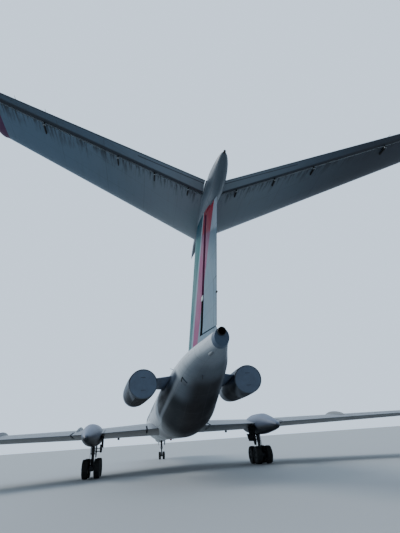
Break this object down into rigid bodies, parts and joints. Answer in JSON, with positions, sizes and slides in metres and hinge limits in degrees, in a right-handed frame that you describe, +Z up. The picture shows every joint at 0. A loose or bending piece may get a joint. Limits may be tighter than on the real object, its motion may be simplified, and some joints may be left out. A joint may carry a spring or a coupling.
{
  "type": "narrow body airliner with rear engines and a T tail",
  "caption": "Full-size swept-wing airliner parked on its gear, with turning wheels and fans, steering and hinged control surfaces.",
  "frame": {"origin": "on the ground in the symmetry plane, midway between the nose's tip and the stabiliser's rearmost tips", "axes": "+Z up, +Y forward to the nose, +X to starboard"},
  "size_m": [29, 37.1, 9.18],
  "materials": {
    "glazing": "dusty glazing",
    "body_paint": "weathered satin grey paint with dirt",
    "radome_paint": "matt radome paint",
    "dark_metal": "heat stained",
    "wing_metal": "weathered, streaked with dirt",
    "tail_paint": "faded white paint with stripes",
    "cover_paint": "blue grey paint",
    "gear_steel": "grey paint with grime",
    "tyre_rubber": "dusty rubber"
  },
  "bodies": {
    "root": {"nose_glazing": "glazing", "fuselage_nose": "body_paint", "fuselage_front": "body_paint", "fuselage_centre": "body_paint", "fuselage_rear": "body_paint", "entry_door": "body_paint", "pylon_right": "body_paint", "pylon_left": "body_paint", "nacelle_right": "body_paint", "nacelle_left": "body_paint", "nose_door_right": "body_paint", "nose_door_left": "body_paint", "chin_radome": "radome_paint", "tail_exhaust": "dark_metal", "engine_right": "dark_metal", "engine_left": "dark_metal", "wing_right": "wing_metal", "wing_left": "wing_metal", "stabiliser_right": "wing_metal", "stabiliser_left": "wing_metal", "gear_pod_right": "wing_metal", "gear_pod_left": "wing_metal", "leg_door_right": "wing_metal", "leg_door_left": "wing_metal", "fin": "tail_paint", "tail_bullet": "tail_paint", "exhaust_cover_right": "cover_paint", "exhaust_cover_left": "cover_paint", "main_leg_right": "gear_steel", "main_leg_left": "gear_steel", "bogie_right": "gear_steel", "bogie_left": "gear_steel", "nose_leg": "gear_steel"},
    "wheels_front_right": {"main_wheels_front_right": "tyre_rubber"},
    "wheels_front_left": {"main_wheels_front_left": "tyre_rubber"},
    "wheels_rear_right": {"main_wheels_rear_right": "tyre_rubber"},
    "wheels_rear_left": {"main_wheels_rear_left": "tyre_rubber"},
    "nose_steering": {"nose_steering": "gear_steel"},
    "nose_wheels": {"nose_wheels": "tyre_rubber"},
    "rudder": {"rudder": "tail_paint"},
    "fan_right": {"fan_right": "dark_metal"},
    "fan_left": {"fan_left": "dark_metal"},
    "elevator_right": {"elevator_right": "wing_metal"},
    "elevator_left": {"elevator_left": "wing_metal"},
    "aileron_right": {"aileron_right": "wing_metal"},
    "aileron_left": {"aileron_left": "wing_metal"},
    "flap_inner_right": {"flap_inner_right": "wing_metal"},
    "flap_inner_left": {"flap_inner_left": "wing_metal"},
    "flap_outer_right": {"flap_outer_right": "wing_metal"},
    "flap_outer_left": {"flap_outer_left": "wing_metal"}
  },
  "joints": [
    {"name": "spin_front_right", "type": "hinge", "parent": "root", "child": "wheels_front_right", "pos_m": [4.72, -1.06, 0.465], "axis": [-1, 0, 0], "continuous": true},
    {"name": "spin_front_left", "type": "hinge", "parent": "root", "child": "wheels_front_left", "pos_m": [-4.72, -1.06, 0.465], "axis": [-1, 0, 0], "continuous": true},
    {"name": "spin_rear_right", "type": "hinge", "parent": "root", "child": "wheels_rear_right", "pos_m": [4.72, -2.12, 0.465], "axis": [-1, 0, 0], "continuous": true},
    {"name": "spin_rear_left", "type": "hinge", "parent": "root", "child": "wheels_rear_left", "pos_m": [-4.72, -2.12, 0.465], "axis": [-1, 0, 0], "continuous": true},
    {"name": "nose_steer", "type": "hinge", "parent": "root", "child": "nose_steering", "pos_m": [0, 14.45, 0.33], "axis": [0, 0, 1], "range_deg": [-55, 55]},
    {"name": "nose_spin", "type": "hinge", "parent": "nose_steering", "child": "nose_wheels", "pos_m": [0, 14.45, 0.33], "axis": [-1, 0, 0], "continuous": true},
    {"name": "fan_right_spin", "type": "hinge", "parent": "root", "child": "fan_right", "pos_m": [2.48555, -4.95435, 3.73263], "axis": [0.075, 0.9969, 0.0244], "continuous": true},
    {"name": "fan_left_spin", "type": "hinge", "parent": "root", "child": "fan_left", "pos_m": [-2.48555, -4.95435, 3.73263], "axis": [-0.075, 0.9969, 0.0244], "continuous": true},
    {"name": "inner_flap_right", "type": "hinge", "parent": "root", "child": "flap_inner_right", "pos_m": [1.84, -0.52271, 2.05126], "axis": [0.9257, -0.3779, -0.0154], "range_deg": [0, 35]},
    {"name": "inner_flap_left", "type": "hinge", "parent": "root", "child": "flap_inner_left", "pos_m": [-1.84, -0.52271, 2.05126], "axis": [0.9257, 0.3779, 0.0154], "range_deg": [0, 35]},
    {"name": "outer_flap_right", "type": "hinge", "parent": "root", "child": "flap_outer_right", "pos_m": [5.74, -2.24805, 2.00591], "axis": [0.8799, -0.4752, 0.0021], "range_deg": [0, 35]},
    {"name": "outer_flap_left", "type": "hinge", "parent": "root", "child": "flap_outer_left", "pos_m": [-5.74, -2.24805, 2.00591], "axis": [0.8799, 0.4752, -0.0021], "range_deg": [0, 35]},
    {"name": "aileron_hinge_right", "type": "hinge", "parent": "root", "child": "aileron_right", "pos_m": [9.25, -4.17668, 2.08768], "axis": [0.8821, -0.4709, -0.0068], "range_deg": [-20, 20]},
    {"name": "aileron_hinge_left", "type": "hinge", "parent": "root", "child": "aileron_left", "pos_m": [-9.25, -4.17668, 2.08768], "axis": [0.8821, 0.4709, 0.0068], "range_deg": [-20, 20]},
    {"name": "elevator_hinge_right", "type": "hinge", "parent": "root", "child": "elevator_right", "pos_m": [0.395, -15.06982, 8.88177], "axis": [0.8618, -0.5072, 0.0062], "range_deg": [-20, 20]},
    {"name": "elevator_hinge_left", "type": "hinge", "parent": "root", "child": "elevator_left", "pos_m": [-0.395, -15.06982, 8.88177], "axis": [0.8618, 0.5072, -0.0062], "range_deg": [-20, 20]},
    {"name": "rudder_hinge", "type": "hinge", "parent": "root", "child": "rudder", "pos_m": [0, -12.40191, 4.78], "axis": [0, -0.5185, 0.8551], "range_deg": [-25, 25]}
  ],
  "couplings": [
    {"joint": "inner_flap_left", "follows": "inner_flap_right", "ratio": 1},
    {"joint": "outer_flap_right", "follows": "inner_flap_right", "ratio": 1},
    {"joint": "outer_flap_left", "follows": "inner_flap_right", "ratio": 1},
    {"joint": "aileron_hinge_left", "follows": "aileron_hinge_right", "ratio": -1},
    {"joint": "elevator_hinge_left", "follows": "elevator_hinge_right", "ratio": 1}
  ]
}
